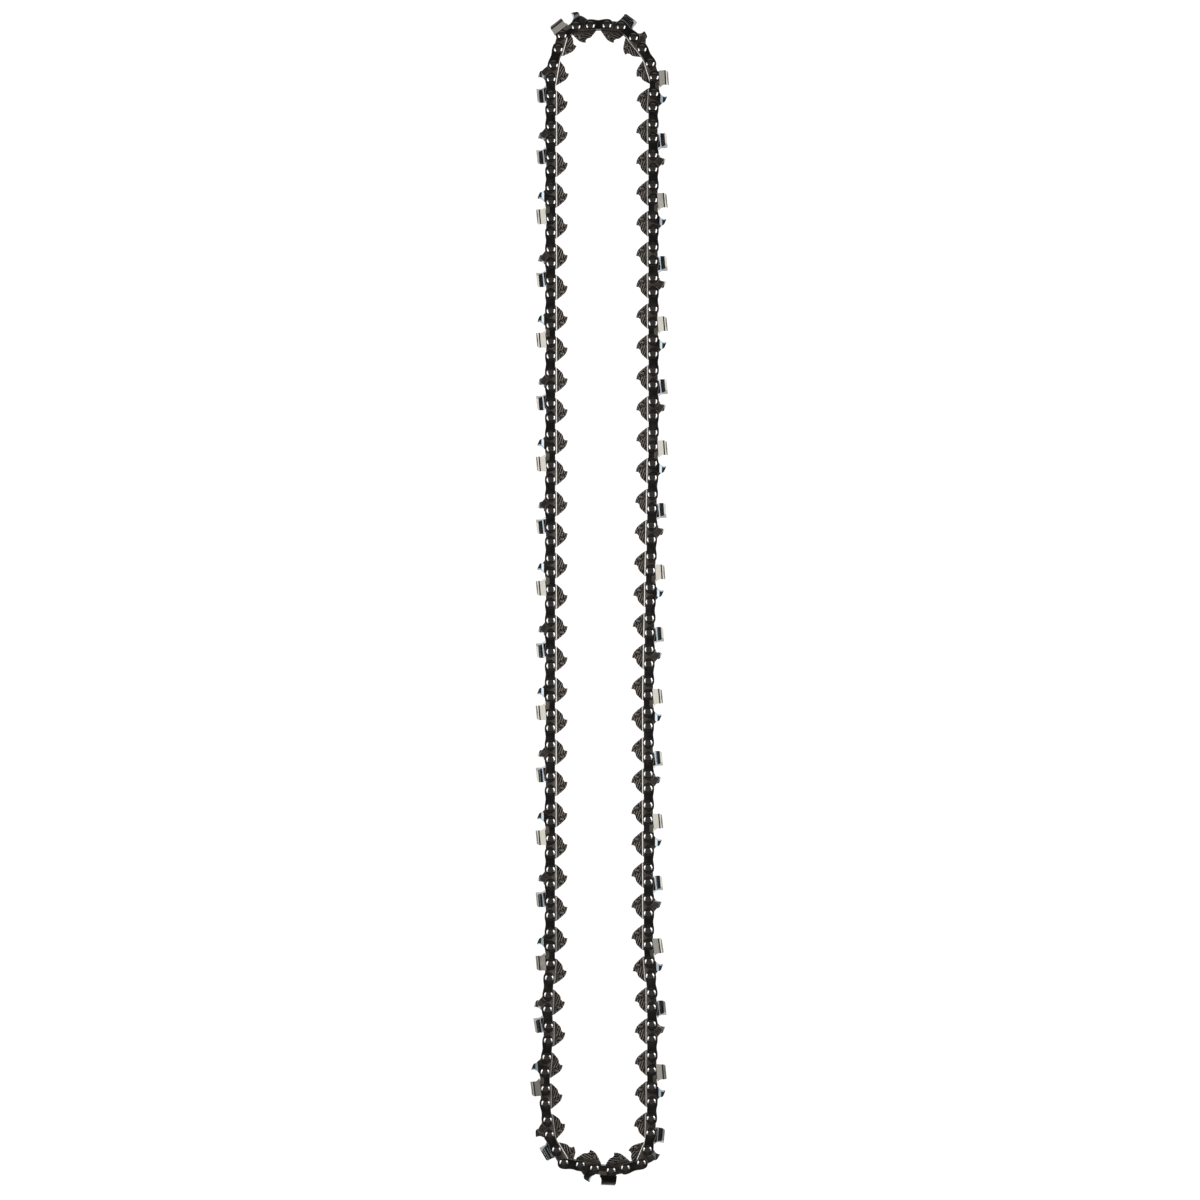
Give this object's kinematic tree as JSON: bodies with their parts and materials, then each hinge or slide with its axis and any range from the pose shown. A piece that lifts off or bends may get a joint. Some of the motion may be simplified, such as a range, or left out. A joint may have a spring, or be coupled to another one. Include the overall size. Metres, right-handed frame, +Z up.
{
  "type": "chainsaw chain",
  "caption": "Closed loop of saw chain lying flat: drive links, tie straps and left and right hand cutters joined by rivets.",
  "frame": {"origin": "centre of the loop's box at the surface it lies on", "axes": "+Y along the loop towards its flat-topped end, +Z up along the rivets, chain runs clockwise seen from +Z"},
  "size_m": [0.074, 0.6236, 0.0069],
  "materials": {
    "drive_link_steel": "dark tumbled steel",
    "strap_steel": "blued steel, slightly polished",
    "cutter_chrome": "chromed top and side plate over dark steel",
    "rivet_steel": "dark domed heads"
  },
  "bodies": {
    "top_bend": {"drive_links_top_bend": "drive_link_steel", "bumper_drive_links_top_bend": "drive_link_steel", "tie_straps_top_bend": "strap_steel", "left_hand_cutters_top_bend": "cutter_chrome", "right_hand_cutters_top_bend": "cutter_chrome", "rivets_top_bend": "rivet_steel"},
    "right_upper_run": {"drive_links_right_upper_run": "drive_link_steel", "bumper_drive_links_right_upper_run": "drive_link_steel", "tie_straps_right_upper_run": "strap_steel", "left_hand_cutters_right_upper_run": "cutter_chrome", "right_hand_cutters_right_upper_run": "cutter_chrome", "rivets_right_upper_run": "rivet_steel"},
    "right_middle_run": {"drive_links_right_middle_run": "drive_link_steel", "bumper_drive_links_right_middle_run": "drive_link_steel", "tie_straps_right_middle_run": "strap_steel", "left_hand_cutters_right_middle_run": "cutter_chrome", "right_hand_cutters_right_middle_run": "cutter_chrome", "rivets_right_middle_run": "rivet_steel"},
    "right_lower_run": {"drive_links_right_lower_run": "drive_link_steel", "bumper_drive_links_right_lower_run": "drive_link_steel", "tie_straps_right_lower_run": "strap_steel", "left_hand_cutters_right_lower_run": "cutter_chrome", "right_hand_cutters_right_lower_run": "cutter_chrome", "rivets_right_lower_run": "rivet_steel"},
    "bottom_bend": {"drive_links_bottom_bend": "drive_link_steel", "bumper_drive_links_bottom_bend": "drive_link_steel", "tie_straps_bottom_bend": "strap_steel", "left_hand_cutters_bottom_bend": "cutter_chrome", "right_hand_cutters_bottom_bend": "cutter_chrome", "rivets_bottom_bend": "rivet_steel"},
    "left_lower_run": {"drive_links_left_lower_run": "drive_link_steel", "bumper_drive_links_left_lower_run": "drive_link_steel", "tie_straps_left_lower_run": "strap_steel", "left_hand_cutters_left_lower_run": "cutter_chrome", "right_hand_cutters_left_lower_run": "cutter_chrome", "rivets_left_lower_run": "rivet_steel"},
    "left_middle_run": {"drive_links_left_middle_run": "drive_link_steel", "bumper_drive_links_left_middle_run": "drive_link_steel", "tie_straps_left_middle_run": "strap_steel", "left_hand_cutters_left_middle_run": "cutter_chrome", "right_hand_cutters_left_middle_run": "cutter_chrome", "rivets_left_middle_run": "rivet_steel"},
    "left_upper_run": {"drive_links_left_upper_run": "drive_link_steel", "bumper_drive_links_left_upper_run": "drive_link_steel", "tie_straps_left_upper_run": "strap_steel", "left_hand_cutters_left_upper_run": "cutter_chrome", "right_hand_cutters_left_upper_run": "cutter_chrome", "rivets_left_upper_run": "rivet_steel"}
  },
  "joints": [
    {"name": "lower_sway", "type": "hinge", "parent": "bottom_bend", "child": "left_lower_run", "pos_m": [-0.02612, -0.19522, 0.00345], "axis": [0, 0, 1], "range_deg": [-20, 20]},
    {"name": "left_lower_to_middle", "type": "hinge", "parent": "left_lower_run", "child": "left_middle_run", "pos_m": [-0.02612, -0.06314, 0.00345], "axis": [0, 0, 1], "range_deg": [-20, 20]},
    {"name": "upper_sway", "type": "hinge", "parent": "left_middle_run", "child": "left_upper_run", "pos_m": [-0.02612, 0.08545, 0.00345], "axis": [0, 0, 1], "range_deg": [-20, 20]},
    {"name": "left_upper_to_top", "type": "hinge", "parent": "left_upper_run", "child": "top_bend", "pos_m": [-0.02612, 0.26706, 0.00345], "axis": [0, 0, 1], "range_deg": [-20, 20]},
    {"name": "top_to_right_upper", "type": "hinge", "parent": "top_bend", "child": "right_upper_run", "pos_m": [0.02817, 0.26045, 0.00345], "axis": [0, 0, 1], "range_deg": [-20, 20]},
    {"name": "right_upper_to_middle", "type": "hinge", "parent": "right_upper_run", "child": "right_middle_run", "pos_m": [0.02817, 0.07884, 0.00345], "axis": [0, 0, 1], "range_deg": [-20, 20]},
    {"name": "right_middle_to_lower", "type": "hinge", "parent": "right_middle_run", "child": "right_lower_run", "pos_m": [0.02548, -0.05321, 0.00345], "axis": [0, 0, 1], "range_deg": [-20, 20]}
  ],
  "couplings": [
    {"joint": "left_lower_to_middle", "follows": "lower_sway", "ratio": -1},
    {"joint": "left_upper_to_top", "follows": "upper_sway", "ratio": -1},
    {"joint": "top_to_right_upper", "follows": "upper_sway", "ratio": 1},
    {"joint": "right_upper_to_middle", "follows": "upper_sway", "ratio": -1},
    {"joint": "right_middle_to_lower", "follows": "lower_sway", "ratio": 1}
  ]
}
